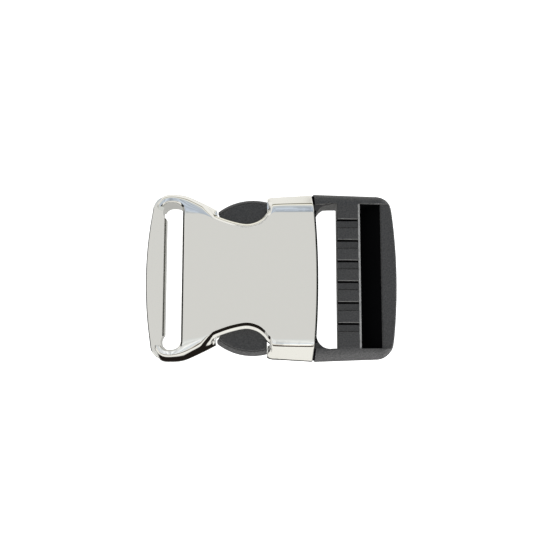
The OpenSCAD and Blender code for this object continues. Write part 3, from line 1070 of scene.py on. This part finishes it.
# Brightness and tint of the studio at each angle from straight up, in degrees, on the camera's side
# (positive) and on the far side (negative).
STUDIO = [
    (-180, (0.38, 0.38, 0.37)),
    (-166, (0.52, 0.52, 0.49)),
    (-150, (0.90, 0.89, 0.85)),
    (-128, (1.00, 0.99, 0.95)),
    (-112, (0.90, 0.89, 0.84)),
    (-107, (0.18, 0.17, 0.12)),
    (-99, (0.18, 0.17, 0.12)),
    (-95, (1.00, 0.98, 0.88)),
    (-84, (1.05, 1.03, 0.95)),
    (-79, (0.62, 0.66, 0.68)),
    (-60, (0.53, 0.59, 0.67)),
    (-30, (0.47, 0.53, 0.62)),
    (-22, (0.56, 0.60, 0.63)),
    (-17, (0.745, 0.745, 0.725)),
    (4, (0.745, 0.745, 0.725)),
    (12, (0.76, 0.78, 0.77)),
    (24, (0.92, 0.94, 0.93)),
    (34, (0.97, 0.98, 0.97)),
    (46, (0.78, 0.84, 0.90)),
    (53, (1.00, 0.98, 0.92)),
    (56, (1.00, 0.96, 0.88)),
    (59, (0.06, 0.045, 0.035)),
    (66, (0.06, 0.045, 0.035)),
    (70, (1.00, 0.99, 0.94)),
    (104, (0.97, 0.96, 0.91)),
    (109, (0.015, 0.012, 0.010)),
    (150, (0.015, 0.012, 0.010)),
    (160, (0.38, 0.38, 0.37)),
    (180, (0.38, 0.38, 0.37)),
]
# Toward the studio's two ends the light turns pale, with a dark zone in their middle.
END_WHITE = (0.95, 0.94, 0.90, 1)
END_DARK = (0.03, 0.03, 0.03, 1)
# How strongly the studio's brightness varies outside the flat top's view, and over which directions.
MOTTLE = (0.72, 1.3)
MOTTLE_STRETCH = (26.0, 3.0, 3.0)
# Over which parts of a direction's height, length or width each change fades in.
BELOW_TOP = (0.96, 0.90)
ABOVE_SIDE = (0.2, 0.5)
PALE_END = (0.60, 0.75)
DARK_END = (0.68, 0.80)
DARK_MIDDLE = (0.42, 0.30)


def calculated(nodes, links, operation, first, second=None):
    node = nodes.new("ShaderNodeMath")
    node.operation = operation
    for socket, value in zip(node.inputs, (first, second)):
        if isinstance(value, float):
            socket.default_value = value
        elif value is not None:
            links.new(value, socket)
    return node.outputs["Value"]


def mixed(nodes, links, share, under, colour):
    """A colour laid over another by a share."""
    node = nodes.new("ShaderNodeMix")
    node.data_type = "RGBA"
    node.inputs["B"].default_value = colour
    links.new(share, node.inputs["Factor"])
    links.new(under, node.inputs["A"])
    return node.outputs["Result"]


def studio_light():
    """Soft light all round, its brightness set by the angle from straight up."""
    world = bpy.data.worlds.new("studio")
    bpy.context.scene.world = world
    world.use_nodes = True
    nodes, links = world.node_tree.nodes, world.node_tree.links
    nodes.clear()
    place = nodes.new("ShaderNodeTexCoord")
    split = nodes.new("ShaderNodeSeparateXYZ")
    links.new(place.outputs["Generated"], split.inputs["Vector"])
    x, y, z = (split.outputs[axis] for axis in "XYZ")
    ramp = nodes.new("ShaderNodeValToRGB")
    elements = ramp.color_ramp.elements
    while len(elements) > 1:
        elements.remove(elements[0])
    for k, (degrees, colour) in enumerate(STUDIO):
        at = (degrees + 180) / 360
        element = elements[0] if k == 0 else elements.new(at)
        element.position = at
        element.color = (*colour, 1)
    away = calculated(nodes, links, "MULTIPLY", y, -1.0)
    angle = calculated(nodes, links, "ARCTAN2", away, z)
    links.new(mapped(nodes, links, angle, -math.pi, math.pi), ramp.inputs["Fac"])
    # Soft patches, left out above, where the flat top mirrors, and low at the sides.
    stretch = nodes.new("ShaderNodeMapping")
    stretch.inputs["Scale"].default_value = MOTTLE_STRETCH
    links.new(place.outputs["Generated"], stretch.inputs["Vector"])
    patches = nodes.new("ShaderNodeTexNoise")
    patches.inputs["Scale"].default_value = 1.0
    patches.inputs["Detail"].default_value = 1.0
    links.new(stretch.outputs["Vector"], patches.inputs["Vector"])
    tone = mapped(nodes, links, patches.outputs["Fac"], 0.35, 0.65, *MOTTLE)
    below_top, above_side = (mapped(nodes, links, z, *fade) for fade in (BELOW_TOP, ABOVE_SIDE))
    off_top = calculated(nodes, links, "MULTIPLY", below_top, above_side)
    tone = calculated(nodes, links, "MULTIPLY", calculated(nodes, links, "SUBTRACT", tone, 1.0), off_top)
    tone = calculated(nodes, links, "ADD", tone, 1.0)
    light = nodes.new("ShaderNodeBackground")
    links.new(tone, light.inputs["Strength"])
    # The ends of the studio.
    end = calculated(nodes, links, "ABSOLUTE", x)
    aside = calculated(nodes, links, "ABSOLUTE", y)
    colour = mixed(nodes, links, mapped(nodes, links, end, *PALE_END), ramp.outputs["Color"], END_WHITE)
    narrow = mapped(nodes, links, aside, *DARK_MIDDLE)
    dark = calculated(nodes, links, "MULTIPLY", mapped(nodes, links, end, *DARK_END), narrow)
    colour = mixed(nodes, links, dark, colour, END_DARK)
    links.new(colour, light.inputs["Color"])
    out = nodes.new("ShaderNodeOutputWorld")
    links.new(light.outputs["Background"], out.inputs["Surface"])


def softbox(name, place, aim, width, height, power):
    """A low softbox that lights the plastic's edges and stays out of the metal's mirror."""
    data = bpy.data.lights.new(name, "AREA")
    data.shape = "RECTANGLE"
    data.size = width
    data.size_y = height
    data.energy = power
    obj = bpy.data.objects.new(name, data)
    bpy.context.scene.collection.objects.link(obj)
    obj.location = place
    direction = mathutils.Vector(aim) - mathutils.Vector(place)
    obj.rotation_euler = direction.to_track_quat("-Z", "Y").to_euler()
    obj.visible_glossy = False


def softboxes():
    softbox("front_softbox", (0.02, -0.26, 0.018), (0.02, 0, 0.006), 0.30, 0.03, FRONT_POWER)
    softbox("end_softbox", (0.27, -0.03, 0.020), (0.03, 0, 0.006), 0.16, 0.03, END_POWER)


def camera():
    data = bpy.data.cameras.new("camera")
    data.lens = LENS
    data.sensor_width = 36.0
    data.clip_start = 0.01
    obj = bpy.data.objects.new("camera", data)
    bpy.context.scene.collection.objects.link(obj)
    obj.location = (
        TARGET[0],
        TARGET[1] - DISTANCE * math.cos(ELEVATION),
        TARGET[2] + DISTANCE * math.sin(ELEVATION),
    )
    obj.rotation_euler = (math.pi / 2 - ELEVATION, 0, 0)
    bpy.context.scene.camera = obj


socket_housing()
prong_plug()
pale_floor()
painted_shade_card()
studio_light()
softboxes()
camera()
bpy.context.scene.view_settings.view_transform = "Standard"
